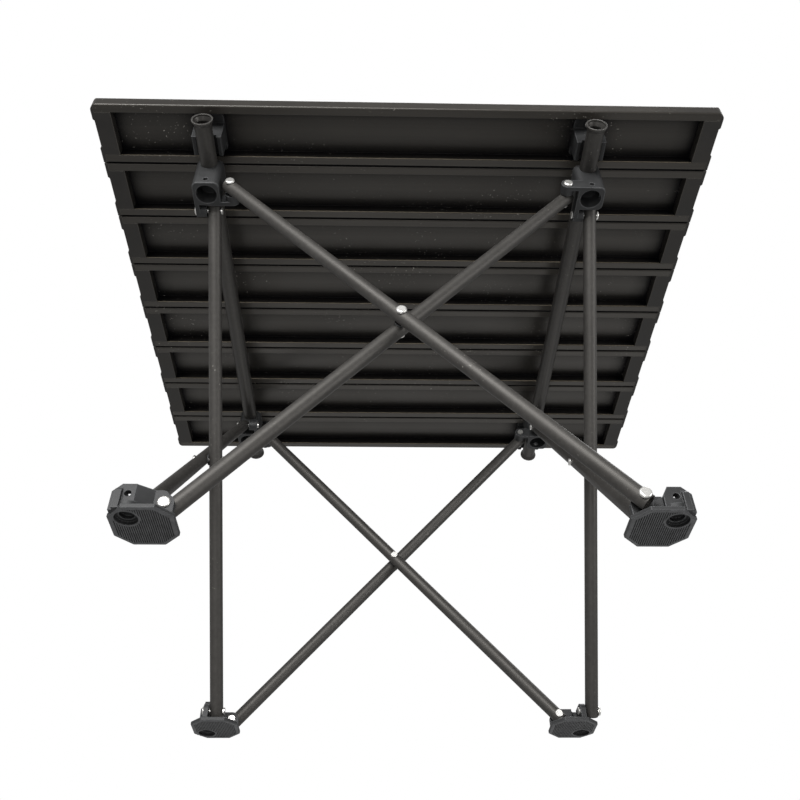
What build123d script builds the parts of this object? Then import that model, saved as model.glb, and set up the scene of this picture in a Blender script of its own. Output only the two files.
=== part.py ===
from build123d import *
import math
import os

# Folding camping table with a roll-up slatted top, millimetres, +Z up.
# The origin is on the ground, under the middle of the top; +X runs along the slats.

# ---- Slatted top ----
SLAT_COUNT = 8
SLAT_PITCH = 43.0
SLAT_GAP = 1.0
TABLE_LENGTH = 408.0
LIP_Z = 288.0                 # underside of the slat lips
SLAT_THICKNESS = 8.5
SKIN = 1.2
LIP_WIDTH = 5.5
LIP_WALL = 1.1
SLAT_EDGE_RADIUS = 1.0
CORNER_RADIUS = 4.5           # plan radius of the four corners of the top

TABLE_DEPTH = SLAT_COUNT * SLAT_PITCH - SLAT_GAP
SLAT_WIDTH = SLAT_PITCH - SLAT_GAP
TOP_Z = LIP_Z + SLAT_THICKNESS
POCKET_WIDTH = SLAT_WIDTH - 2 * LIP_WIDTH
SKIN_Z = TOP_Z - SKIN         # ceiling of the pocket between the lips

# ---- End caps and the elastic cords strung through them ----
CAP_FLANGE = 2.2
CAP_BLOCK = 10.0
CAP_RELIEF = 1.0              # the middle of each cap's end face is set back by this
CAP_RELIEF_LENGTH = 21.0
CAP_CLEARANCE = 0.05
CORD_DIAMETER = 2.6
CORD_HOLE = 3.2
CORD_X = 198.6
CORD_Z = LIP_Z + 4.2
CORD_END_Y = TABLE_DEPTH / 2 - LIP_WIDTH - 4.0
KNOT_DIAMETER = 4.6
KNOT_LENGTH = 4.5
KNOT_POCKET = 5.2

# ---- Rails under the top and the clips that straddle them ----
POST = 124.0                  # distance of each corner's post axis from the frame's middle, in X and in Y
FRAME_X = -6.0                # the middle of the frame, seen from the middle of the top
FRAME_Y = -7.0
RAIL_OD = 11.0
RAIL_WALL = 1.0
RAIL_ENDS_Y = (-171.4, 161.0)   # front and rear
RAIL_Z = 272.0
RAIL_MOUTH_OD = 13.6          # each end of a rail is belled out to this
RAIL_MOUTH_LENGTH = 1.0
RAIL_MOUTH_TAPER = 2.6
CLIP_BASE = (19.0, 26.0, 3.0)
CLIP_EAR_THICKNESS = 3.2
CLIP_BLOCK_LENGTH = 13.4
CLIP_BOTTOM_Z = 275.0
CLIP_SEAT_GAP = 0.05          # between the rail and the seat above it
CLIP_RIVET_SPACING = 19.0
CLIP_RIVET_SHANK = 2.4
CLIP_RIVET_HEAD = 5.0
CLIP_RIVET_HEAD_RISE = 1.0

# ---- Legs ----
LEG_OD = 8.5
LEG_WALL = 0.9
LEG_OVERRUN = 3.2             # a leg ends this far beyond its rivets
RIVET_INSET = 15.5            # rivets stand this far inboard of the post axis
FOOT_RIVET_Z = 8.5
HUB_RIVET_Z = 254.2
# how far outboard of the post plane each leg's axis runs, at its hub and at its foot
OUTER_LEG_OFFSET = (2.8, 5.4)
INNER_LEG_OFFSET = (-2.8, -7.4)

RIVET_SHANK = 3.2
RIVET_RUNNING = 0.05          # radial clearance of a leg that turns on its rivet
RIVET_SEAT_GAP = 0.1
RIVET_HEAD = 6.1
RIVET_HEAD_RISE = 1.3
RIVET_TAIL = 4.6
RIVET_TAIL_RISE = 0.9
SIDE_GAP = 0.5                # between a leg and the boss or lug beside it
WASHER_DIAMETER = 7.2
WASHER_THICKNESS = 0.54

# ---- Hubs at the top of the legs ----
HUB_SIZE = 17.5
HUB_BOTTOM_Z = 250.0
HUB_TOP_Z = 276.0
HUB_CORNER_RADIUS = 4.0
SOCKET_DIAMETER = 13.5
SOCKET_DEPTH = 12.0
RAIL_RUNNING = 0.08           # radial clearance of a rail in its saddle
EAR_THICKNESS = 2.75
EAR_RADIUS = 4.2
HUB_HOLE = 3.2
SCREW_SHANK = 3.0
SCREW_HEAD = 5.5
SCREW_HEAD_HEIGHT = 2.0

# ---- Feet ----
SOLE_OUTBOARD = 8.5           # sole edge to post axis, on the outer sides
SOLE_SIZE = 30.0
SOLE_CHAMFER = 7.5
SOLE_THICKNESS = 2.5
SOLE_RIM = 1.8
GROOVE_PITCH = 1.0
GROOVE_WIDTH = 0.5
GROOVE_DEPTH = 0.5
RECESS = (10.8, 2.0)          # diameter, depth
CORE = (7.0, 4.2)
RECESS_BOSS = (13.0, 5.8)
RECESS_RING = 0.9
WALL_INNER = 2.5              # faces of a post wall, outboard of the post axis
WALL_OUTER = 5.5
WALL_REACH = 7.3
WALL_TOP_Z = 15.2
WALL_CHAMFER = 4.2
WALL_HOLE = 3.4
WALL_HOLE_Z = 10.0
WALL_STEP = 8.4               # about where a post wall gives way to its lug
LUG_THICKNESS = 3.2
LUG_RADIUS = 4.6

SIDES = ["front", "right", "rear", "left"]
CORNERS = ["front_left", "front_right", "rear_right", "rear_left"]

os.makedirs("parts", exist_ok=True)


def turned(index, x, y):
    """The vector (x, y), turned a quarter turn about Z for each step of index."""
    for _ in range(index % 4):
        x, y = -y, x
    return x, y


def side_plane(index, outboard=0.0):
    """Vertical plane of one side: local x to the right seen from outside, local y up."""
    x_dir = turned(index, 1, 0)
    out = turned(index, 0, -1)
    origin = (FRAME_X + out[0] * outboard, FRAME_Y + out[1] * outboard, 0)
    return Plane(origin=origin, x_dir=(*x_dir, 0), z_dir=(*out, 0))


def corner_plane(index, z=0.0):
    """Level plane at one corner's post axis: local x and y both point inboard, along the sides."""
    x, y = turned(index, -POST, -POST)
    return Plane(origin=(FRAME_X + x, FRAME_Y + y, z), x_dir=(*turned(index, 1, 0), 0), z_dir=(0, 0, 1))


def corner_wall(index, along, outboard=0.0):
    """Vertical plane at a corner, along its local x ('u') or its local y ('v').

    The plane's own x runs inboard along that side and its y is up.
    """
    x, y = turned(index, -POST, -POST)
    u = turned(index, 1, 0)
    v = turned(index, 0, 1)
    run, across, sign = (u, v, -1) if along == "u" else (v, u, 1)
    origin = (FRAME_X + x - across[0] * outboard, FRAME_Y + y - across[1] * outboard, 0)
    return Plane(origin=origin, x_dir=(*run, 0), z_dir=(across[0] * sign, across[1] * sign, 0))


def add_plate(index, along, outboard_from, outboard_to, outline, mode=Mode.ADD):
    """Extrude an outline, drawn on a corner's vertical plane, between two outboard positions."""
    middle = (outboard_from + outboard_to) / 2
    with BuildSketch(corner_wall(index, along, middle)) as plate:
        outline()
    extrude(plate.sketch, amount=abs(outboard_to - outboard_from) / 2, both=True, mode=mode)


def finish(builder, label):
    builder.part.label = label
    export_step(builder.part, f"parts/{label}.step")


# ---------------------------------------------------------------- slats, caps and cords

def slat_y(index):
    return (index - (SLAT_COUNT - 1) / 2) * SLAT_PITCH


def trim_corners():
    """Keep what lies inside the rounded plan outline of the whole top."""
    with BuildSketch(Plane.XY.offset(LIP_Z - 1)) as outline:
        RectangleRounded(TABLE_LENGTH, TABLE_DEPTH, CORNER_RADIUS)
    extrude(outline.sketch, amount=SLAT_THICKNESS + 2, mode=Mode.INTERSECT)


def cut_cord_bores(index):
    """Bore one slat's share of the two cord runs; the end slats are bored part way only."""
    y = slat_y(index)
    start = max(y - SLAT_PITCH / 2, -CORD_END_Y)
    end = min(y + SLAT_PITCH / 2, CORD_END_Y)
    with BuildSketch(Plane.XZ.offset(-start)) as bores:
        with Locations((CORD_X, CORD_Z), (-CORD_X, CORD_Z)):
            Circle(CORD_HOLE / 2)
    extrude(bores.sketch, amount=start - end, mode=Mode.SUBTRACT)


def make_slat(index):
    metal_length = TABLE_LENGTH - 2 * CAP_FLANGE
    lip_middle = (SLAT_WIDTH - LIP_WIDTH) / 2
    with BuildPart() as slat:
        with BuildSketch(Plane.YZ.offset(-metal_length / 2)):
            with Locations((slat_y(index), LIP_Z + SLAT_THICKNESS / 2)):
                RectangleRounded(SLAT_WIDTH, SLAT_THICKNESS, SLAT_EDGE_RADIUS)
                with Locations((0, -SKIN)):
                    Rectangle(POCKET_WIDTH, SLAT_THICKNESS, mode=Mode.SUBTRACT)
                with Locations((lip_middle, 0), (-lip_middle, 0)):
                    Rectangle(LIP_WIDTH - 2 * LIP_WALL, SLAT_THICKNESS - 2 * LIP_WALL, mode=Mode.SUBTRACT)
        extrude(amount=metal_length)
        cut_cord_bores(index)
        if index in (0, SLAT_COUNT - 1):
            trim_corners()
    finish(slat, f"slat_{index + 1}")


def make_caps(index):
    """The two plastic end caps of a slat: a flange over its end and a block between its lips."""
    y = slat_y(index)
    end_x = TABLE_LENGTH / 2
    half = SLAT_WIDTH / 2
    relief = CAP_RELIEF_LENGTH / 2
    with BuildPart() as caps:
        for side in (-1, 1):
            with BuildSketch(Plane.XY.offset(LIP_Z)):
                with BuildLine():
                    Polyline(
                        (side * (end_x - CAP_FLANGE), y - half),
                        (side * end_x, y - half),
                        (side * end_x, y - relief),
                        (side * (end_x - CAP_RELIEF), y - relief + CAP_RELIEF),
                        (side * (end_x - CAP_RELIEF), y + relief - CAP_RELIEF),
                        (side * end_x, y + relief),
                        (side * end_x, y + half),
                        (side * (end_x - CAP_FLANGE), y + half),
                        close=True,
                    )
                make_face()
            extrude(amount=SLAT_THICKNESS)
            with BuildSketch(Plane.XY.offset(LIP_Z)):
                with Locations((side * (end_x - CAP_FLANGE - CAP_BLOCK / 2), y)):
                    Rectangle(CAP_BLOCK, POCKET_WIDTH - 2 * CAP_CLEARANCE)
            extrude(amount=SKIN_Z - LIP_Z - CAP_CLEARANCE)
        cut_cord_bores(index)
        if index in (0, SLAT_COUNT - 1):
            inboard = 1 if index == 0 else -1
            with BuildSketch(Plane.XZ.offset(inboard * CORD_END_Y)):
                with Locations((CORD_X, CORD_Z), (-CORD_X, CORD_Z)):
                    Circle(KNOT_POCKET / 2)
            extrude(amount=-inboard * (KNOT_LENGTH + 1), mode=Mode.SUBTRACT)
            trim_corners()
    finish(caps, f"end_caps_{index + 1}")


def make_cord(side, label):
    """An elastic cord at rest, with a knot at each end."""
    end_y = CORD_END_Y - 0.5
    with BuildPart() as cord:
        with BuildSketch(Plane.XZ.offset(end_y)):
            with Locations((side * CORD_X, CORD_Z)):
                Circle(CORD_DIAMETER / 2)
        extrude(amount=-2 * end_y)
        for end in (-1, 1):
            with BuildSketch(Plane.XZ.offset(end * end_y)):
                with Locations((side * CORD_X, CORD_Z)):
                    Circle(KNOT_DIAMETER / 2)
            extrude(amount=-end * KNOT_LENGTH)
    finish(cord, label)


# ---------------------------------------------------------------- rails and clips

def make_rail(side, label):
    """A rail with belled ends, drilled from below for the screw of its rear hub."""
    front, rear = RAIL_ENDS_Y
    tube, mouth = RAIL_OD / 2, RAIL_MOUTH_OD / 2
    lip = RAIL_MOUTH_LENGTH
    neck = lip + RAIL_MOUTH_TAPER
    axis_plane = Plane(origin=(FRAME_X + side * POST, 0, RAIL_Z), x_dir=(0, 1, 0), z_dir=(1, 0, 0))
    outside = [
        (front, mouth),
        (front + lip, mouth),
        (front + neck, tube),
        (rear - neck, tube),
        (rear - lip, mouth),
        (rear, mouth),
    ]
    inside = [(run, radius - RAIL_WALL) for run, radius in reversed(outside)]
    with BuildPart() as rail:
        with BuildSketch(axis_plane):
            Polygon(*outside, *inside, align=None)
        revolve(axis=Axis(axis_plane.origin, (0, 1, 0)))
        with BuildSketch(Plane.XY.offset(RAIL_Z)):
            with Locations((FRAME_X + side * POST, FRAME_Y + POST)):
                Circle(SCREW_SHANK / 2)
        extrude(amount=-RAIL_OD, mode=Mode.SUBTRACT)
    finish(rail, label)


def make_clips(index, label):
    """The pair of clips under one slat: a base plate on its skin, a seat and two ears per rail."""
    width, length, thickness = CLIP_BASE
    top_z = SKIN_Z - CAP_CLEARANCE
    seat_z = RAIL_Z + RAIL_OD / 2 + CLIP_SEAT_GAP
    y = slat_y(index)
    with BuildPart() as clips:
        with BuildSketch(Plane.XY.offset(top_z)):
            with Locations((FRAME_X + POST, y), (FRAME_X - POST, y)):
                RectangleRounded(width, length, 2.0)
        extrude(amount=-thickness)
        with BuildSketch(Plane.XY.offset(top_z)):
            with Locations((FRAME_X + POST, y), (FRAME_X - POST, y)):
                Rectangle(width, CLIP_BLOCK_LENGTH)
        extrude(amount=CLIP_BOTTOM_Z - top_z)
        with BuildSketch(Plane.XY.offset(seat_z)):
            with Locations((FRAME_X + POST, y), (FRAME_X - POST, y)):
                Rectangle(width - 2 * CLIP_EAR_THICKNESS, length)
        extrude(amount=CLIP_BOTTOM_Z - seat_z, mode=Mode.SUBTRACT)
        chamfer(clips.part.faces().filter_by(Axis.Z).sort_by(Axis.Z)[0:4].edges().filter_by(Axis.Y), length=0.6)
        with BuildSketch(Plane.XY.offset(top_z)):
            with Locations((FRAME_X + POST, y), (FRAME_X - POST, y)):
                with GridLocations(1, CLIP_RIVET_SPACING, 1, 2):
                    Circle(CLIP_RIVET_SHANK / 2)
        extrude(amount=-2 * thickness, mode=Mode.SUBTRACT)
    finish(clips, label)


def make_clip_rivets(index, label):
    head_z = SKIN_Z - CAP_CLEARANCE - CLIP_BASE[2]
    y = slat_y(index)
    with BuildPart() as rivets:
        with BuildSketch(Plane.XY.offset(head_z)):
            with Locations((FRAME_X + POST, y), (FRAME_X - POST, y)):
                with GridLocations(1, CLIP_RIVET_SPACING, 1, 2):
                    Circle(CLIP_RIVET_HEAD / 2)
        extrude(amount=-CLIP_RIVET_HEAD_RISE)
        fillet(rivets.part.faces().filter_by(Axis.Z).sort_by(Axis.Z)[0:4].edges(), radius=0.6)
        with BuildSketch(Plane.XY.offset(head_z)):
            with Locations((FRAME_X + POST, y), (FRAME_X - POST, y)):
                with GridLocations(1, CLIP_RIVET_SPACING, 1, 2):
                    Circle(CLIP_RIVET_SHANK / 2)
        extrude(amount=SKIN_Z - head_z)
    finish(rivets, label)


# ---------------------------------------------------------------- hubs

def rivet_spot(z, radius):
    with Locations((RIVET_INSET, z)):
        Circle(radius)


def cut_rivet_bore(index, along, z):
    add_plate(index, along, -SOLE_SIZE, SOLE_SIZE, lambda: rivet_spot(z, RIVET_SHANK / 2), Mode.SUBTRACT)


def hub_ear():
    with Locations((RIVET_INSET / 2, HUB_RIVET_Z)):
        Rectangle(RIVET_INSET, 2 * EAR_RADIUS)
    rivet_spot(HUB_RIVET_Z, EAR_RADIUS)


def hub_boss():
    rivet_spot(HUB_RIVET_Z, EAR_RADIUS)


def make_hub(index):
    """Moulded hub: a socket from below, a saddle for the rail on top and two ears for the legs."""
    face = HUB_SIZE / 2
    boss_face = LEG_OD / 2 + SIDE_GAP - OUTER_LEG_OFFSET[0]
    across_rail = "v" if index % 2 else "u"
    with BuildPart() as hub:
        with BuildSketch(corner_plane(index, HUB_BOTTOM_Z)):
            RectangleRounded(HUB_SIZE, HUB_SIZE, HUB_CORNER_RADIUS)
        extrude(amount=HUB_TOP_Z - HUB_BOTTOM_Z)
        chamfer(hub.part.faces().sort_by(Axis.Z)[0].edges(), length=0.5)
        # the outer leg's ear is flush with the hub's inboard face, the inner leg's with its outboard face
        add_plate(index, "u", -face, EAR_THICKNESS - face, hub_ear)
        add_plate(index, "u", -face, -boss_face, hub_boss)
        add_plate(index, "v", face - EAR_THICKNESS, face, hub_ear)
        add_plate(index, "v", boss_face, face, hub_boss)
        with BuildSketch(corner_plane(index, HUB_BOTTOM_Z)):
            Circle(SOCKET_DIAMETER / 2)
        extrude(amount=SOCKET_DEPTH, mode=Mode.SUBTRACT)
        with BuildSketch(corner_wall(index, across_rail)):
            with Locations((0, RAIL_Z)):
                Circle(RAIL_OD / 2 + RAIL_RUNNING)
        extrude(amount=HUB_SIZE, both=True, mode=Mode.SUBTRACT)
        for along in ("u", "v"):
            with BuildSketch(corner_wall(index, along, face)):
                with Locations((0, HUB_RIVET_Z)):
                    Circle(HUB_HOLE / 2)
            extrude(amount=face / 2, both=True, mode=Mode.SUBTRACT)
            cut_rivet_bore(index, along, HUB_RIVET_Z)
        if index >= 2:
            with BuildSketch(corner_plane(index, HUB_BOTTOM_Z)):
                Circle(SCREW_SHANK / 2)
            extrude(amount=RAIL_Z - HUB_BOTTOM_Z, mode=Mode.SUBTRACT)
    finish(hub, f"hub_{CORNERS[index]}")


def make_rail_screw(index, label):
    """Screw driven up from a rear hub's socket, through its floor and into the rail."""
    seat_z = HUB_BOTTOM_Z + SOCKET_DEPTH
    tip_z = RAIL_Z - RAIL_OD / 2 + RAIL_WALL + 1.5
    with BuildPart() as screw:
        with BuildSketch(corner_plane(index, seat_z)):
            Circle(SCREW_HEAD / 2)
        extrude(amount=-SCREW_HEAD_HEIGHT)
        fillet(screw.part.faces().sort_by(Axis.Z)[0].edges(), radius=0.7)
        with BuildSketch(corner_plane(index, seat_z)):
            Circle(SCREW_SHANK / 2)
        extrude(amount=tip_z - seat_z)
        with BuildSketch(corner_plane(index, seat_z - SCREW_HEAD_HEIGHT)):
            Rectangle(3.2, 0.8)
            Rectangle(0.8, 3.2)
        extrude(amount=0.9, mode=Mode.SUBTRACT)
    finish(screw, label)


# ---------------------------------------------------------------- feet

def sole_outline(margin=0.0):
    """Corner points of the octagonal sole, or of the same octagon drawn in by a margin."""
    low = margin - SOLE_OUTBOARD
    high = SOLE_SIZE - SOLE_OUTBOARD - margin
    cut = SOLE_CHAMFER - margin * (2 - math.sqrt(2))
    return [
        (low + cut, low),
        (high - cut, low),
        (high, low + cut),
        (high, high - cut),
        (high - cut, high),
        (low + cut, high),
        (low, high - cut),
        (low, low + cut),
    ]


def tall_wall():
    Polygon(
        (-WALL_REACH, 1),
        (WALL_STEP - 5, 1),
        (WALL_STEP - 5, WALL_TOP_Z),
        (WALL_CHAMFER - WALL_REACH, WALL_TOP_Z),
        (-WALL_REACH, WALL_TOP_Z - WALL_CHAMFER),
        align=None,
    )


def sloped_wall():
    Polygon(
        (-WALL_REACH, 1),
        (WALL_STEP - 2.4, 1),
        (WALL_STEP - 2.4, 10.6),
        (WALL_STEP - 5, WALL_TOP_Z),
        (WALL_CHAMFER - WALL_REACH, WALL_TOP_Z),
        (-WALL_REACH, WALL_TOP_Z - WALL_CHAMFER),
        align=None,
    )


def tall_lug():
    Polygon(
        (WALL_STEP - 3.4, 1),
        (RIVET_INSET + LUG_RADIUS, 1),
        (RIVET_INSET + LUG_RADIUS, FOOT_RIVET_Z),
        (RIVET_INSET + 0.6, WALL_TOP_Z - 0.6),
        (RIVET_INSET - 1.0, WALL_TOP_Z),
        (WALL_STEP - 3.4, WALL_TOP_Z),
        align=None,
    )
    rivet_spot(FOOT_RIVET_Z, LUG_RADIUS)


def low_lug():
    Polygon(
        (WALL_STEP - 3.4, 1),
        (RIVET_INSET + LUG_RADIUS, 1),
        (RIVET_INSET + LUG_RADIUS, FOOT_RIVET_Z),
        (RIVET_INSET, FOOT_RIVET_Z + LUG_RADIUS),
        (WALL_STEP - 3.4, FOOT_RIVET_Z + LUG_RADIUS),
        align=None,
    )
    rivet_spot(FOOT_RIVET_Z, LUG_RADIUS)


def add_web(index, along, outer_lug_face, reach, top_z):
    """Slanted web, drawn in plan, that leads from a post wall in to its lug."""
    inner = outer_lug_face - LUG_THICKNESS
    plan = [
        (WALL_STEP - 5.4, WALL_OUTER),
        (reach, outer_lug_face),
        (reach, inner),
        (WALL_STEP - 1.4, inner),
        (WALL_STEP - 5.4, WALL_INNER),
    ]
    points = [(run, -out) if along == "u" else (-out, run) for run, out in plan]
    with BuildSketch(corner_plane(index, 1)) as web:
        Polygon(*points, align=None)
    extrude(web.sketch, amount=top_z - 1)


def make_foot(index):
    """Moulded foot: a grooved octagonal sole, two post walls and two lugs for the legs."""
    inner_lug = INNER_LEG_OFFSET[1] + LEG_OD / 2 + SIDE_GAP
    outer_lug = OUTER_LEG_OFFSET[1] - LEG_OD / 2 - SIDE_GAP
    count = int((SOLE_SIZE - 2 * SOLE_RIM) / GROOVE_PITCH)
    middle = SOLE_SIZE / 2 - SOLE_OUTBOARD
    with BuildPart() as foot:
        with BuildSketch(corner_plane(index)):
            Polygon(*sole_outline(), align=None)
        extrude(amount=SOLE_THICKNESS)
        chamfer(foot.part.faces().filter_by(Axis.Z).edges(), length=0.4)
        with BuildSketch(corner_plane(index, SOLE_THICKNESS / 2)):
            Circle(RECESS_BOSS[0] / 2)
        extrude(amount=RECESS_BOSS[1] - SOLE_THICKNESS / 2)
        # the inner leg's side, along local x
        add_plate(index, "u", WALL_INNER, WALL_OUTER, tall_wall)
        add_plate(index, "u", inner_lug, inner_lug + LUG_THICKNESS, tall_lug)
        add_web(index, "u", inner_lug + LUG_THICKNESS, WALL_STEP + 2.6, WALL_TOP_Z)
        # the outer leg's side, along local y
        add_plate(index, "v", WALL_INNER, WALL_OUTER, sloped_wall)
        add_plate(index, "v", outer_lug - LUG_THICKNESS, outer_lug, low_lug)
        add_web(index, "v", outer_lug, WALL_STEP + 1.2, 10.6)
        for along in ("u", "v"):
            cut_rivet_bore(index, along, FOOT_RIVET_Z)
            with BuildSketch(corner_wall(index, along, (WALL_INNER + WALL_OUTER) / 2)):
                with Locations((0, WALL_HOLE_Z)):
                    Circle(WALL_HOLE / 2)
            extrude(amount=WALL_OUTER - WALL_INNER, both=True, mode=Mode.SUBTRACT)
        for diameter, depth in (RECESS, CORE):
            with BuildSketch(corner_plane(index)):
                Circle(diameter / 2)
            extrude(amount=depth, mode=Mode.SUBTRACT)
        # the grooves of every foot run front to back
        grid = (1, count) if index % 2 else (count, 1)
        bar = (SOLE_SIZE, GROOVE_WIDTH) if index % 2 else (GROOVE_WIDTH, SOLE_SIZE)
        with BuildSketch(corner_plane(index)):
            with Locations((middle, middle)):
                with GridLocations(GROOVE_PITCH, GROOVE_PITCH, *grid):
                    Rectangle(*bar)
            Polygon(*sole_outline(SOLE_RIM), align=None, mode=Mode.INTERSECT)
            Circle(RECESS[0] / 2 + RECESS_RING, mode=Mode.SUBTRACT)
        extrude(amount=GROOVE_DEPTH, mode=Mode.SUBTRACT)
    finish(foot, f"foot_{CORNERS[index]}")


# ---------------------------------------------------------------- legs and rivets

CROSSING = (0, (FOOT_RIVET_Z + HUB_RIVET_Z) / 2)


def leg_end_points(kind):
    """(s, z, outboard) of a leg's foot and hub rivets; s is to the right seen from outside."""
    reach = POST - RIVET_INSET
    foot_side = 1 if kind == "outer" else -1
    hub_out, foot_out = OUTER_LEG_OFFSET if kind == "outer" else INNER_LEG_OFFSET
    foot = (foot_side * reach, FOOT_RIVET_Z, POST + foot_out)
    hub = (-foot_side * reach, HUB_RIVET_Z, POST + hub_out)
    return foot, hub


def crossing_outboard(kind):
    """Outboard position of a leg's axis where the two legs of a side cross."""
    foot, hub = leg_end_points(kind)
    return (foot[2] + hub[2]) / 2


def make_leg(side, kind):
    foot, hub = leg_end_points(kind)
    frame = side_plane(side)
    start = frame.from_local_coords(Vector(*foot))
    end = frame.from_local_coords(Vector(*hub))
    run = (end - start).normalized()
    loose = RIVET_SHANK / 2 + RIVET_RUNNING
    with BuildPart() as leg:
        with BuildSketch(Plane(origin=start - run * LEG_OVERRUN, z_dir=run)):
            Circle(LEG_OD / 2)
            Circle(LEG_OD / 2 - LEG_WALL, mode=Mode.SUBTRACT)
        extrude(amount=(end - start).length + 2 * LEG_OVERRUN)
        with BuildSketch(side_plane(side, POST - 2 * LEG_OD)):
            with Locations(foot[:2], hub[:2]):
                Circle(loose)
            with Locations(CROSSING):
                Circle(loose if kind == "outer" else RIVET_SHANK / 2)
        extrude(amount=4 * LEG_OD, mode=Mode.SUBTRACT)
    finish(leg, f"leg_{SIDES[side]}_{kind}")


def make_rivets(label, stacks):
    """Rivets with a domed head outboard and a clenched tail inboard.

    Each stack is (side, point on that side's plane, outboard head seat, outboard tail seat).
    """
    with BuildPart() as rivets:
        for side, point, head_seat, tail_seat in stacks:
            with BuildSketch(side_plane(side, head_seat)):
                with Locations(point):
                    Circle(RIVET_HEAD / 2)
            extrude(amount=RIVET_HEAD_RISE)
            outward = Axis((0, 0, 0), side_plane(side).z_dir)
            crown = rivets.faces(Select.LAST).sort_by(outward)[-1]
            fillet(crown.edges(), radius=0.75 * RIVET_HEAD_RISE)
            with BuildSketch(side_plane(side, tail_seat)):
                with Locations(point):
                    Circle(RIVET_SHANK / 2)
            extrude(amount=head_seat - tail_seat)
            with BuildSketch(side_plane(side, tail_seat)):
                with Locations(point):
                    Circle(RIVET_TAIL / 2)
            extrude(amount=-RIVET_TAIL_RISE)
    finish(rivets, label)


def make_corner_rivets(index, part_name):
    """The two like rivets of one hub or foot, one for each leg that turns on it.

    On a rivet's own side, s is measured to the right: the near corner of a side is at its left end.
    """
    reach = POST - RIVET_INSET
    at_hub = part_name == "hub"
    z = HUB_RIVET_Z if at_hub else FOOT_RIVET_Z
    end = 0 if at_hub else 1
    radius = LEG_OD / 2
    outer_axis = POST + OUTER_LEG_OFFSET[end]
    inner_axis = POST + INNER_LEG_OFFSET[end]
    if at_hub:
        outer_tail = POST - HUB_SIZE / 2
        inner_head = POST + HUB_SIZE / 2
    else:
        outer_tail = outer_axis - radius - SIDE_GAP - LUG_THICKNESS
        inner_head = inner_axis + radius + SIDE_GAP + LUG_THICKNESS
    outer_seats = (outer_axis + radius + RIVET_SEAT_GAP, outer_tail)
    inner_seats = (inner_head, inner_axis - radius - RIVET_SEAT_GAP)
    # this corner is the left end of the side of the same index and the right end of the one before
    left_of = index
    right_of = (index - 1) % 4
    left_seats, right_seats = (outer_seats, inner_seats) if at_hub else (inner_seats, outer_seats)
    make_rivets(f"rivets_{part_name}_{CORNERS[index]}", [
        (left_of, (-reach, z), *left_seats),
        (right_of, (reach, z), *right_seats),
    ])


def make_crossing_rivet(side):
    """Rivet through both legs where they cross; it turns with the inner leg."""
    head_seat = crossing_outboard("outer") + LEG_OD / 2 + RIVET_SEAT_GAP
    tail_seat = crossing_outboard("inner") - LEG_OD / 2 - RIVET_SEAT_GAP
    make_rivets(f"crossing_rivet_{SIDES[side]}", [(side, CROSSING, head_seat, tail_seat)])


def make_washer(side):
    """Thin washer on the crossing rivet, between the two legs of a side."""
    middle = (crossing_outboard("outer") + crossing_outboard("inner")) / 2
    with BuildPart() as washer:
        with BuildSketch(side_plane(side, middle - WASHER_THICKNESS / 2)):
            with Locations(CROSSING):
                Circle(WASHER_DIAMETER / 2)
                Circle(RIVET_SHANK / 2, mode=Mode.SUBTRACT)
        extrude(amount=WASHER_THICKNESS)
    finish(washer, f"crossing_washer_{SIDES[side]}")


for slat_index in range(SLAT_COUNT):
    make_slat(slat_index)
    make_caps(slat_index)
make_cord(-1, "elastic_cord_left")
make_cord(1, "elastic_cord_right")
make_rail(-1, "rail_left")
make_rail(1, "rail_right")
make_clips(0, "rail_clips_front")
make_clips(SLAT_COUNT - 1, "rail_clips_rear")
make_clip_rivets(0, "clip_rivets_front")
make_clip_rivets(SLAT_COUNT - 1, "clip_rivets_rear")
for corner_index in range(4):
    make_hub(corner_index)
    make_foot(corner_index)
    make_corner_rivets(corner_index, "hub")
    make_corner_rivets(corner_index, "foot")
make_rail_screw(2, "rail_screw_right")
make_rail_screw(3, "rail_screw_left")
for side_index in range(4):
    make_leg(side_index, "outer")
    make_leg(side_index, "inner")
    make_crossing_rivet(side_index)
    make_washer(side_index)
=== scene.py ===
import math

import bmesh
import bpy
from mathutils import Matrix, Vector


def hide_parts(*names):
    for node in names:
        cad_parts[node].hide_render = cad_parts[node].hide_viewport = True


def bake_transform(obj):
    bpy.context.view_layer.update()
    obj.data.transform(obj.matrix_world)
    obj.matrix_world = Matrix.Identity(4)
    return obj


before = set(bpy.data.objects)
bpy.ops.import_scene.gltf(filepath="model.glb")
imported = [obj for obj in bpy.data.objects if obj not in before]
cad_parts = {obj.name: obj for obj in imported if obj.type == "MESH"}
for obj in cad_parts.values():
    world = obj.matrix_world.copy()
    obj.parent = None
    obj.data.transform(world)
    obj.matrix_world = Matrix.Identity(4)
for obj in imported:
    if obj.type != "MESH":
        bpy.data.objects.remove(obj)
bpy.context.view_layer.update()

SIDES = ("front", "right", "rear", "left")
CORNERS = ("front_left", "front_right", "rear_right", "rear_left")
# All lengths and heights are in metres.
SLAT_COUNT = 8
SLAT_PITCH = 0.043
LIP_Z = 0.288                 # height of the slats' lower lips
TOP_Z = 0.2965                # height of the table's top
CORNER_DEPTH = 0.015          # how far off a face throws painted shade on another, on the slats
GROOVE_DEPTH = 0.0016         # the same, on moulded parts
METAL_EDGE = 0.0007           # radius that metal edges look rounded to
MOULDED_EDGE = 0.0008         # the same, on moulded parts
SURFACE_SAMPLES = 6           # rays for a rounded edge or a shaded corner

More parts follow.
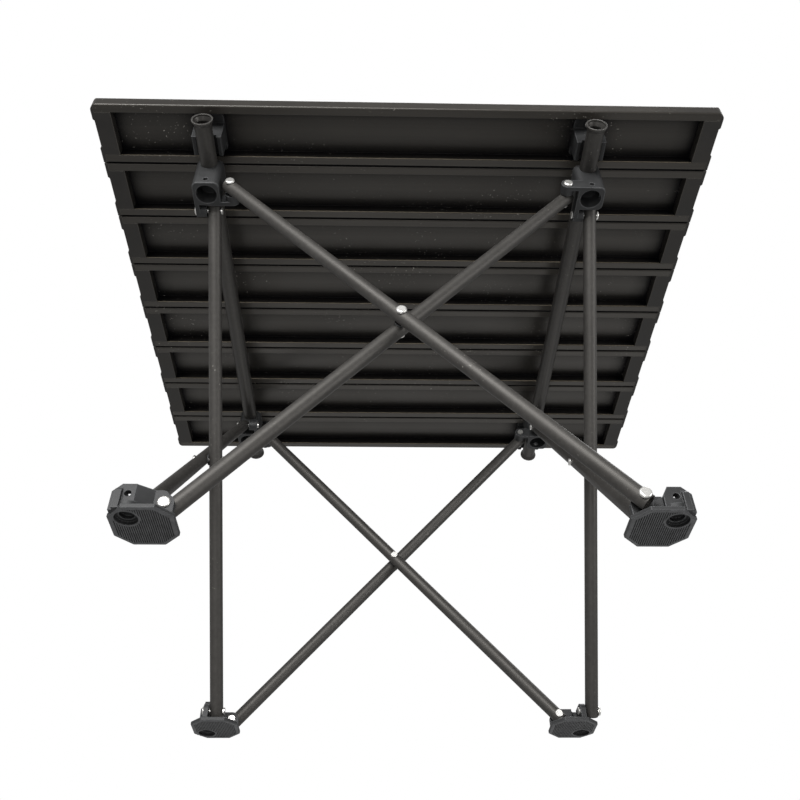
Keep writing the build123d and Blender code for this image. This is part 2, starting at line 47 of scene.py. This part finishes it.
TAU = 2 * math.pi
CORD_X = 0.1986
CORD_Z = 0.2922
CORD_END = 0.1615             # outer end of a knot, from the middle of the table
CORD_RADIUS = 0.0013
CORD_SIDES = 18
BRAID_STRANDS = 3
BRAID_LAY = 0.0042            # length over which a strand goes once round the cord
KNOT_START = 0.157
KNOT_RADIUS = 0.0023
COARSE_STEP = 0.0005          # between rings, away from a joint
FINE_STEP = 0.00012           # between rings, near a joint
BEND_REACH = 0.0016           # rings lie close together within this distance of a joint

WHITE = (1.0, 1.0, 1.0)
DUST = (0.42, 0.40, 0.36)
# painted shade deep in the slats' corners and gaps
PAINTED_CORNER_SHADE = (0.0007, 0.0008, 0.0017)
# painted highlight along the slats' pocket edges
PAINTED_RIM_HIGHLIGHT = (0.150, 0.127, 0.092)
# painted light on the slats' lower lip faces
PAINTED_LIP_LIGHT = (0.0190, 0.0168, 0.0138)
SCUFFED_SOLE = (0.070, 0.071, 0.073)
PLASTIC = ((0.0115, 0.0118, 0.0122), (0.0215, 0.0219, 0.0225))


# ---------------------------------------------------------------- camera, light and floor

CAMERA_PLACE = Vector((-0.01631, -0.45152, -0.21924))
CAMERA_LENS = 38.582          # mm
CAMERA_SENSOR = 36.0          # mm
CAMERA_ELEVATION = 42.321     # degrees above the horizon
CAMERA_HEADING = 1.64         # degrees from +Y towards +X
CAMERA_ROLL = -0.665          # degrees
LIGHT_TARGET = (0.0, 0.0, 0.2)
AMBIENT = 0.41                # even light from all round, as in a bright room
FLOOR_SIZE = 6.0
FLOOR_DROP = 0.0005           # how far the floor lies below the soles
FLOOR_GLOW = 0.38


def make_camera():
    """A low camera in front of the table, looking up at its underside."""
    data = bpy.data.cameras.new("camera")
    data.lens = CAMERA_LENS
    data.sensor_width = CAMERA_SENSOR
    data.clip_start = 0.01
    camera = bpy.data.objects.new("camera", data)
    heading = Matrix.Rotation(math.radians(-CAMERA_HEADING), 4, "Z")
    tilt = Matrix.Rotation(math.radians(90 + CAMERA_ELEVATION), 4, "X")
    roll = Matrix.Rotation(math.radians(CAMERA_ROLL), 4, "Z")
    camera.matrix_world = Matrix.Translation(CAMERA_PLACE) @ heading @ tilt @ roll
    bpy.context.scene.collection.objects.link(camera)
    bpy.context.scene.camera = camera


def make_light(name, place, size, power):
    """A rectangular studio light that the camera doesn't see, aimed at the table."""
    data = bpy.data.lights.new(name, "AREA")
    data.shape = "RECTANGLE"
    data.size, data.size_y = size
    data.energy = power
    light = bpy.data.objects.new(name, data)
    aim = Vector(LIGHT_TARGET) - Vector(place)
    turn = aim.to_track_quat("-Z", "Y").to_matrix().to_4x4()
    light.matrix_world = Matrix.Translation(place) @ turn
    light.visible_camera = False
    bpy.context.scene.collection.objects.link(light)


def make_lights():
    make_light("window", (-0.45, -1.5, 0.42), (1.2, 0.7), 42)
    make_light("fill", (1.4, -0.7, -0.1), (0.6, 0.9), 9)
    make_light("lamp", (-0.25, -1.1, -0.9), (0.4, 0.4), 3.2)
    make_light("bounce", (0.1, 0.85, -0.62), (1.2, 0.6), 1.8)
    make_light("ceiling", (0.3, 0.5, 1.7), (1.6, 1.6), 30)


def make_world():
    """Even soft light from all round, and plain white where the camera sees past the table."""
    world = bpy.data.worlds.new("studio")
    world.use_nodes = True
    nodes, links = world.node_tree.nodes, world.node_tree.links
    soft = nodes["Background"]
    soft.inputs["Color"].default_value = (*WHITE, 1.0)
    soft.inputs["Strength"].default_value = AMBIENT
    backdrop = nodes.new("ShaderNodeBackground")
    backdrop.inputs["Color"].default_value = (*WHITE, 1.0)
    backdrop.inputs["Strength"].default_value = 1.0
    path = nodes.new("ShaderNodeLightPath")
    mix = nodes.new("ShaderNodeMixShader")
    links.new(path.outputs["Is Camera Ray"], mix.inputs["Fac"])
    links.new(soft.outputs["Background"], mix.inputs[1])
    links.new(backdrop.outputs["Background"], mix.inputs[2])
    links.new(mix.outputs["Shader"], nodes["World Output"].inputs["Surface"])
    bpy.context.scene.world = world
    bpy.context.scene.view_settings.view_transform = "Standard"


def make_floor():
    """A pale floor seen from above only, so that the view from below it stays open."""
    bpy.ops.mesh.primitive_plane_add(size=FLOOR_SIZE, location=(0, 0, -FLOOR_DROP))
    floor = bpy.context.object
    floor.name = "floor"
    material, nodes, links = new_material("floor_pale")
    shader = nodes["Principled BSDF"]
    shader.inputs["Base Color"].default_value = (0.86, 0.86, 0.85, 1)
    shader.inputs["Roughness"].default_value = 0.9
    shader.inputs["Emission Color"].default_value = (1.0, 1.0, 0.99, 1)
    shader.inputs["Emission Strength"].default_value = FLOOR_GLOW
    clear = nodes.new("ShaderNodeBsdfTransparent")
    side = nodes.new("ShaderNodeNewGeometry")
    path = nodes.new("ShaderNodeLightPath")
    hidden = nodes.new("ShaderNodeMath")
    hidden.operation = "SUBTRACT"
    hidden.use_clamp = True
    mix = nodes.new("ShaderNodeMixShader")
    links.new(path.outputs["Is Camera Ray"], hidden.inputs[0])
    links.new(side.outputs["Backfacing"], hidden.inputs[1])
    links.new(hidden.outputs["Value"], mix.inputs["Fac"])
    links.new(clear.outputs["BSDF"], mix.inputs[1])
    links.new(shader.outputs["BSDF"], mix.inputs[2])
    links.new(mix.outputs["Shader"], nodes["Material Output"].inputs["Surface"])
    floor.data.materials.append(material)


# ---------------------------------------------------------------- materials

def new_material(name):
    material = bpy.data.materials.new(name)
    material.use_nodes = True
    return material, material.node_tree.nodes, material.node_tree.links


def coordinates(nodes, links, scale=(1, 1, 1)):
    """Places on the surface as the table stands at rest, stretched by scale along each axis."""
    place = nodes.new("ShaderNodeTexCoord")
    mapping = nodes.new("ShaderNodeMapping")
    mapping.inputs["Scale"].default_value = scale
    links.new(place.outputs["Object"], mapping.inputs["Vector"])
    return mapping.outputs["Vector"]


def noise(nodes, links, vector, scale, detail=4.0, roughness=0.55):
    texture = nodes.new("ShaderNodeTexNoise")
    texture.inputs["Scale"].default_value = scale
    texture.inputs["Detail"].default_value = detail
    texture.inputs["Roughness"].default_value = roughness
    links.new(vector, texture.inputs["Vector"])
    return texture.outputs["Fac"]


def ramp(nodes, links, value, stops):
    """Colour ramp; stops are (position, colour) with the colour a grey or an rgb."""
    node = nodes.new("ShaderNodeValToRGB")
    links.new(value, node.inputs["Fac"])
    elements = node.color_ramp.elements
    while len(elements) < len(stops):
        elements.new(0.5)
    for element, (position, colour) in zip(elements, stops):
        element.position = position
        rgb = colour if isinstance(colour, tuple) else (colour, colour, colour)
        element.color = (*rgb, 1.0)
    return node.outputs["Color"]


def mix_colour(nodes, links, factor, first, second, blend="MIX"):
    """Two colours mixed; the factor and either colour may be a plain value or another node's output."""
    node = nodes.new("ShaderNodeMix")
    node.data_type = "RGBA"
    node.blend_type = blend
    # sockets 0, 6 and 7 are the factor and the two colours, and output 2 is the mixed colour
    for number, value in ((0, factor), (6, first), (7, second)):
        socket = node.inputs[number]
        if isinstance(value, (int, float)):
            socket.default_value = value
        elif isinstance(value, tuple):
            socket.default_value = (*value, 1.0)
        else:
            links.new(value, socket)
    return node.outputs[2]


def shaded(nodes, links, colour, shade):
    return mix_colour(nodes, links, 1.0, colour, shade, "MULTIPLY")


def scaled(colour, gain):
    return tuple(gain * part for part in colour)


def map_range(nodes, links, value, low, high, to_low, to_high):
    """Maps low to to_low and high to to_high, and holds those values beyond them."""
    node = nodes.new("ShaderNodeMapRange")
    limits = {"From Min": low, "From Max": high, "To Min": to_low, "To Max": to_high}
    for name, number in limits.items():
        node.inputs[name].default_value = number
    links.new(value, node.inputs["Value"])
    return node.outputs["Result"]


def mask(nodes, links, value, off, on):
    """A mask that is 0 where value is off, and 1 where it is on."""
    return map_range(nodes, links, value, off, on, 0.0, 1.0)


def arithmetic(nodes, links, operation, first, second):
    node = nodes.new("ShaderNodeMath")
    node.operation = operation
    links.new(first, node.inputs[0])
    links.new(second, node.inputs[1])
    return node.outputs["Value"]


def multiply(nodes, links, first, second):
    return arithmetic(nodes, links, "MULTIPLY", first, second)


def add_bump(nodes, links, height, strength, distance, normal=None):
    bump = nodes.new("ShaderNodeBump")
    bump.inputs["Strength"].default_value = strength
    bump.inputs["Distance"].default_value = distance
    links.new(height, bump.inputs["Height"])
    if normal is not None:
        links.new(normal, bump.inputs["Normal"])
    return bump.outputs["Normal"]


def eased_edges(nodes, links, radius):
    """The normal rounded off at edges, and a mask that is 1 along edges and 0 on faces."""
    bevel = nodes.new("ShaderNodeBevel")
    bevel.samples = SURFACE_SAMPLES
    bevel.inputs["Radius"].default_value = radius
    geometry = nodes.new("ShaderNodeNewGeometry")
    dot = nodes.new("ShaderNodeVectorMath")
    dot.operation = "DOT_PRODUCT"
    links.new(bevel.outputs["Normal"], dot.inputs[0])
    links.new(geometry.outputs["True Normal"], dot.inputs[1])
    return bevel.outputs["Normal"], mask(nodes, links, dot.outputs["Value"], 0.995, 0.90)


def openness(nodes, links, distance):
    """A value that is 1 on open faces and falls towards 0 deep in inside corners and gaps, where
    painted shade goes.
    """
    occlusion = nodes.new("ShaderNodeAmbientOcclusion")
    occlusion.samples = SURFACE_SAMPLES
    occlusion.inputs["Distance"].default_value = distance
    return occlusion.outputs["AO"]


def height_above_floor(nodes, links):
    """Height of the surface with the table at rest."""
    split = nodes.new("ShaderNodeSeparateXYZ")
    links.new(coordinates(nodes, links), split.inputs["Vector"])
    return split.outputs["Z"]


def upright(nodes, links):
    """A mask that is 1 on a piece's walls as it stands at rest, and 0 where it leans or lies flat."""
    place = nodes.new("ShaderNodeTexCoord")
    split = nodes.new("ShaderNodeSeparateXYZ")
    links.new(place.outputs["Normal"], split.inputs["Vector"])
    lean = nodes.new("ShaderNodeMath")
    lean.operation = "ABSOLUTE"
    links.new(split.outputs["Z"], lean.inputs[0])
    return map_range(nodes, links, lean.outputs["Value"], 0.06, 0.12, 1.0, 0.0)


def paint_lip_light(nodes, links, tone, grain_shade, clear):
    """Lips painted paler, as painted light on their open lower faces, with a painted highlight along
    the pocket edge.
    """
    height = height_above_floor(nodes, links)
    near_lip = mask(nodes, links, height, LIP_Z + 0.0011, LIP_Z + 0.0007)
    # the painted highlight line shows on pocket walls only: not deep in the gaps, and not on the open
    # outer faces
    near_lip = multiply(nodes, links, near_lip, mask(nodes, links, clear, 0.42, 0.55))
    near_lip = multiply(nodes, links, near_lip, mask(nodes, links, clear, 0.97, 0.88))
    near_lip = multiply(nodes, links, near_lip, upright(nodes, links))
    # painted light: the lips' lower faces are painted paler than the rest of the slat
    on_lip = mask(nodes, links, height, LIP_Z + 0.0004, LIP_Z + 0.0002)
    rim_highlight = shaded(nodes, links, PAINTED_RIM_HIGHLIGHT, grain_shade)
    face = shaded(nodes, links, PAINTED_LIP_LIGHT, grain_shade)
    tone = mix_colour(nodes, links, near_lip, tone, rim_highlight)
    return mix_colour(nodes, links, on_lip, tone, face)


def anodised(name, base, light, specks, roughness, grain_axis=None, edge_highlight_gain=0.0, folded=False):
    """Black anodised metal: fine grain, drawn out along grain_axis if there is one, cloudy sheen and
    dust in patches, with edges painted paler as a painted highlight where the edge gain isn't 0. A
    folded profile also has painted shade deep in its corners and gaps, and lips painted paler, with a
    painted highlight along the pocket edge."""
    material, nodes, links = new_material(name)
    shader = nodes["Principled BSDF"]
    stretch = tuple(5.0 if axis == grain_axis else 420.0 for axis in "XYZ")
    grain = noise(nodes, links, coordinates(nodes, links, stretch), 1.0, 3.0)
    cloud = noise(nodes, links, coordinates(nodes, links), 14.0, 5.0, 0.6)
    dust = noise(nodes, links, coordinates(nodes, links), 700.0, 2.0, 0.5)
    patches = noise(nodes, links, coordinates(nodes, links), 17.0, 3.0, 0.6)
    tone = mix_colour(nodes, links, mask(nodes, links, cloud, 0.3, 0.7), base, light)
    grain_shade = ramp(nodes, links, grain, [(0.3, 0.80), (0.7, 1.20)])
    tone = shaded(nodes, links, tone, grain_shade)
    polish = map_range(nodes, links, cloud, 0.3, 0.7, *roughness)
    normal = None
    if edge_highlight_gain:
        normal, edge = eased_edges(nodes, links, METAL_EDGE)
    if folded:
        # painted shade: faces deep in the profile's corners and gaps are darkened towards a near-black
        # tone, and made duller there
        clear = openness(nodes, links, CORNER_DEPTH)
        edge = multiply(nodes, links, edge, mask(nodes, links, clear, 0.84, 0.97))
        open_face = mask(nodes, links, clear, 0.50, 0.96)
        tone = mix_colour(nodes, links, open_face, PAINTED_CORNER_SHADE, tone)
        dulling = map_range(nodes, links, open_face, 0.0, 1.0, 0.25, 0.0)
        polish = arithmetic(nodes, links, "ADD", polish, dulling)
        gloss = map_range(nodes, links, open_face, 0.0, 0.85, 0.12, 0.5)
        links.new(gloss, shader.inputs["Specular IOR Level"])
    # painted highlight: edges painted paler, the lighter tone times the edge gain
    if edge_highlight_gain:
        tone = mix_colour(nodes, links, edge, tone, scaled(light, edge_highlight_gain))
    if folded:
        tone = paint_lip_light(nodes, links, tone, grain_shade, clear)
    dust_mask = map_range(nodes, links, dust, 0.690, 0.735, 0.0, specks)
    dust_mask = multiply(nodes, links, dust_mask, mask(nodes, links, patches, 0.50, 0.62))
    if folded:
        # the top is wiped, so most of its dust is gone
        height = height_above_floor(nodes, links)
        wiped = map_range(nodes, links, height, TOP_Z - 0.0010, TOP_Z - 0.0003, 1.0, 0.25)
        dust_mask = multiply(nodes, links, dust_mask, wiped)
    tone = mix_colour(nodes, links, dust_mask, tone, DUST)
    links.new(tone, shader.inputs["Base Color"])
    links.new(polish, shader.inputs["Roughness"])
    shader.inputs["Specular Tint"].default_value = (1.0, 0.96, 0.90, 1.0)
    links.new(add_bump(nodes, links, dust, 0.08, 0.0001, normal), shader.inputs["Normal"])
    return material


def moulded(name, base, light, worn_sole=False):
    """Black moulded plastic with a fine matte grain, painted shade in its grooves and edges painted
    paler as a painted highlight. A worn sole also has scuffed ribs where it stands on the floor."""
    material, nodes, links = new_material(name)
    shader = nodes["Principled BSDF"]
    vector = coordinates(nodes, links)
    cloud = noise(nodes, links, vector, 55.0, 4.0, 0.6)
    pebble = noise(nodes, links, vector, 1600.0, 2.0, 0.5)
    tone = mix_colour(nodes, links, mask(nodes, links, cloud, 0.35, 0.7), base, light)
    # painted shade: grooves and inside corners darkened to under half the tone
    clear = openness(nodes, links, GROOVE_DEPTH)
    open_face = mask(nodes, links, clear, 0.35, 0.85)
    tone = mix_colour(nodes, links, open_face, scaled(base, 0.45), tone)
    normal, edge = eased_edges(nodes, links, MOULDED_EDGE)
    # painted highlight: open edges painted paler
    highlit_edge = multiply(nodes, links, edge, open_face)
    tone = mix_colour(nodes, links, highlit_edge, tone, scaled(light, 3.6))
    if worn_sole:
        rib = mask(nodes, links, height_above_floor(nodes, links), 0.0004, 0.0001)
        scuff_noise = noise(nodes, links, vector, 260.0, 4.0, 0.6)
        scuff = ramp(nodes, links, scuff_noise, [(0.3, 0.6), (0.7, 1.3)])
        tone = mix_colour(nodes, links, rib, tone, shaded(nodes, links, SCUFFED_SOLE, scuff))
    links.new(tone, shader.inputs["Base Color"])
    links.new(map_range(nodes, links, cloud, 0.3, 0.7, 0.48, 0.62), shader.inputs["Roughness"])
    shader.inputs["Specular IOR Level"].default_value = 0.38
    links.new(add_bump(nodes, links, pebble, 0.18, 0.0001, normal), shader.inputs["Normal"])
    return material


def bright_metal(name, base, dark):
    """Bright rivet or screw metal with faint turning marks and tarnish."""
    material, nodes, links = new_material(name)
    shader = nodes["Principled BSDF"]
    vector = coordinates(nodes, links)
    cloud = noise(nodes, links, vector, 700.0, 4.0, 0.65)
    scratch = noise(nodes, links, coordinates(nodes, links, (1, 1, 7)), 1500.0, 2.0, 0.5)
    tone = mix_colour(nodes, links, mask(nodes, links, cloud, 0.35, 0.75), base, dark)
    links.new(tone, shader.inputs["Base Color"])
    links.new(map_range(nodes, links, cloud, 0.3, 0.7, 0.22, 0.42), shader.inputs["Roughness"])
    shader.inputs["Metallic"].default_value = 0.85
    links.new(add_bump(nodes, links, scratch, 0.12, 0.0001), shader.inputs["Normal"])
    return material


def braided(name):
    """Black braided cover of an elastic cord."""
    material, nodes, links = new_material(name)
    shader = nodes["Principled BSDF"]
    weave = nodes.new("ShaderNodeTexWave")
    weave.bands_direction = "DIAGONAL"
    weave.inputs["Scale"].default_value = 900.0
    weave.inputs["Distortion"].default_value = 1.5
    links.new(coordinates(nodes, links), weave.inputs["Vector"])
    tone = ramp(nodes, links, weave.outputs["Fac"], [(0.2, 0.012), (0.8, 0.045)])
    links.new(tone, shader.inputs["Base Color"])
    shader.inputs["Roughness"].default_value = 0.85
    links.new(add_bump(nodes, links, weave.outputs["Fac"], 0.5, 0.0003), shader.inputs["Normal"])
    return material


# ---------------------------------------------------------------- elastic cords

def slat_middle(number):
    """Where the middle of a slat lies, from front to back."""
    return (number - (SLAT_COUNT + 1) / 2) * SLAT_PITCH


def cord_radius(y, angle):
    """Radius of the cord's braided cover, swelling to an overhand knot near each end."""
    twist = TAU * y / BRAID_LAY
    around = BRAID_STRANDS * angle
    strands = max(abs(math.sin(around + twist)), abs(math.sin(around - twist)))
    radius = CORD_RADIUS * (0.93 + 0.07 * strands)
    into_knot = (abs(y) - KNOT_START) / (CORD_END - KNOT_START)
    if 0.0 < into_knot < 1.0:
        turns = 1.0 - 0.14 * abs(math.sin(angle + TAU * into_knot))
        radius = max(radius, KNOT_RADIUS * turns * math.sin(math.pi * into_knot) ** 0.4)
    return radius


def cord_stations(start, end, joint):
    """Places of the rings along one length of cord, closest together near the joint."""
    stations, y = [], start
    while y < end - 1e-6:
        stations.append(y)
        y += FINE_STEP if abs(y - joint) < BEND_REACH else COARSE_STEP
    return stations + [end]


def cord_ring(mesh, x, y):
    """Corners of the cord's section at y, in order."""
    ring = []
    for step in range(CORD_SIDES):
        angle = TAU * step / CORD_SIDES
        radius = cord_radius(y, angle)
        place = (x + radius * math.cos(angle), y, CORD_Z + radius * math.sin(angle))
        ring.append(mesh.verts.new(place))
    return ring


def make_cord_length(side, x, number, material):
    """The cord from one slat's middle to the next one's, with its rings closest together at the joint
    between them. The first and the last length go on to the cord's knotted ends."""
    joint = slat_middle(number) + SLAT_PITCH / 2
    start = -CORD_END if number == 1 else slat_middle(number)
    end = CORD_END if number == SLAT_COUNT - 1 else slat_middle(number + 1)
    mesh = bmesh.new()
    rings = [cord_ring(mesh, x, y) for y in cord_stations(start, end, joint)]
    for first, second in zip(rings, rings[1:]):
        for step in range(CORD_SIDES):
            after = (step + 1) % CORD_SIDES
            mesh.faces.new((first[step], first[after], second[after], second[step]))
    mesh.faces.new(rings[0][::-1])
    mesh.faces.new(rings[-1])
    bmesh.ops.recalc_face_normals(mesh, faces=mesh.faces)
    name = f"cord_{side}_{number}"
    data = bpy.data.meshes.new(name)
    mesh.to_mesh(data)
    mesh.free()
    data.polygons.foreach_set("use_smooth", [True] * len(data.polygons))
    data.materials.append(material)
    piece = bpy.data.objects.new(name, data)
    bpy.context.scene.collection.objects.link(piece)
    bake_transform(piece)
    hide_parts(f"elastic_cord_{side}")


def make_cords(material):
    """Both elastic cords, as one length for each joint between slats."""
    for side, x in (("left", -CORD_X), ("right", CORD_X)):
        for number in range(1, SLAT_COUNT):
            make_cord_length(side, x, number, material)


def dress(material, *names):
    """Gives CAD nodes their material."""
    for name in names:
        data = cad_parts[name].data
        data.materials.clear()
        data.materials.append(material)


def dress_everything():
    slat = anodised(
        "slat_black", (0.0072, 0.0061, 0.0050), (0.0138, 0.0118, 0.0094),
        specks=0.6, roughness=(0.30, 0.42), grain_axis="X", edge_highlight_gain=2.2, folded=True,
    )
    tube = anodised(
        "tube_black", (0.019, 0.0179, 0.0167), (0.029, 0.0275, 0.0256),
        specks=0.3, roughness=(0.46, 0.56),
    )
    rail = anodised(
        "rail_black", (0.014, 0.0133, 0.0125), (0.023, 0.0218, 0.0203),
        specks=0.3, roughness=(0.38, 0.46), edge_highlight_gain=1.7,
    )
    plastic = moulded("moulded_black", *PLASTIC)
    cap = moulded("cap_black", (0.0115, 0.0102, 0.0086), (0.0205, 0.0183, 0.0155))
    foot = moulded("foot_black", *PLASTIC, worn_sole=True)
    clip = moulded("clip_black", (0.006, 0.0062, 0.0065), (0.012, 0.0123, 0.0128))
    rivet = bright_metal("rivet_bright", (0.80, 0.79, 0.76), (0.50, 0.49, 0.47))
    screw = bright_metal("screw_zinc", (0.66, 0.66, 0.64), (0.40, 0.40, 0.38))
    cord = braided("cord_black")
    for number in range(1, SLAT_COUNT + 1):
        dress(slat, f"slat_{number}")
        dress(cap, f"end_caps_{number}")
    for side in SIDES:
        dress(tube, f"leg_{side}_outer", f"leg_{side}_inner")
        dress(rivet, f"crossing_rivet_{side}")
        dress(plastic, f"crossing_washer_{side}")
    for corner in CORNERS:
        dress(plastic, f"hub_{corner}")
        dress(foot, f"foot_{corner}")
        dress(rivet, f"rivets_hub_{corner}", f"rivets_foot_{corner}")
    dress(rail, "rail_left", "rail_right")
    dress(clip, "rail_clips_front", "rail_clips_rear")
    dress(rivet, "clip_rivets_front", "clip_rivets_rear")
    dress(screw, "rail_screw_left", "rail_screw_right")
    make_cords(cord)


make_camera()
make_world()
make_lights()
make_floor()
dress_everything()
